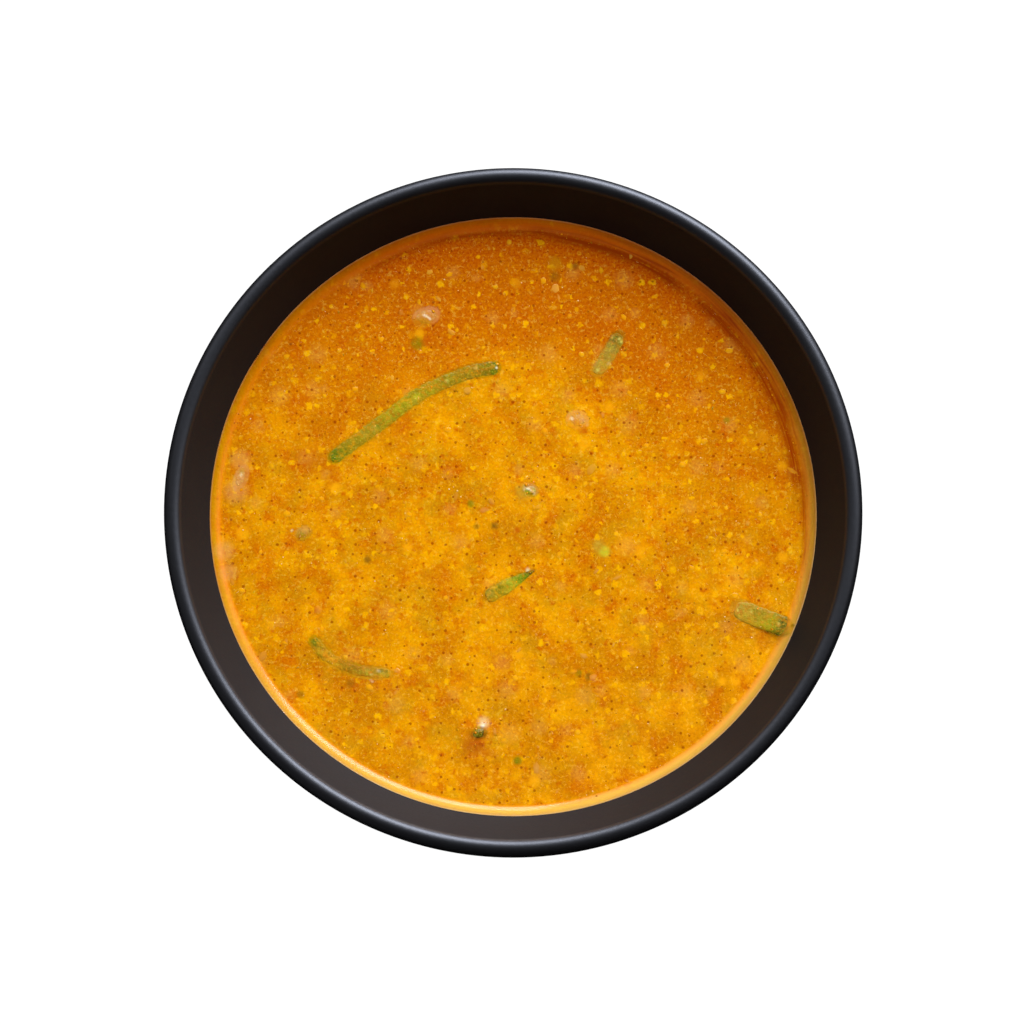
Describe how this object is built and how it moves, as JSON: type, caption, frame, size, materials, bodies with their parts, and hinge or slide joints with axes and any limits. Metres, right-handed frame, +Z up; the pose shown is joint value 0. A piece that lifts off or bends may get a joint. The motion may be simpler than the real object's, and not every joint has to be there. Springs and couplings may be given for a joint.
{
  "type": "bowl of sambar",
  "caption": "Round black stoneware bowl filled with orange lentil soup, with cut green chilli, bean and onion floating half sunk in it.",
  "frame": {"origin": "middle of the foot's underside, on the surface that the bowl stands on", "axes": "+Z up through the bowl's mouth, +Y towards the far side as the picture shows it, +X to its right"},
  "size_m": [0.16, 0.16, 0.056],
  "materials": {
    "black_glaze": "satin",
    "sambar": "gloss",
    "green_chilli": "gloss",
    "green_bean": "gloss",
    "onion": "gloss",
    "peppercorn": "satin"
  },
  "bodies": {
    "root": {"bowl": "black_glaze", "sambar": "sambar", "green_chilli_strip": "green_chilli", "chilli_sliver": "green_chilli", "chilli_tip": "green_chilli", "chilli_bit": "green_chilli", "bean_piece": "green_bean", "bean_end": "green_bean", "leaf_bit": "green_bean", "onion_piece_far": "onion", "onion_piece_middle": "onion", "onion_piece_left": "onion", "peppercorn": "peppercorn"}
  },
  "joints": []
}
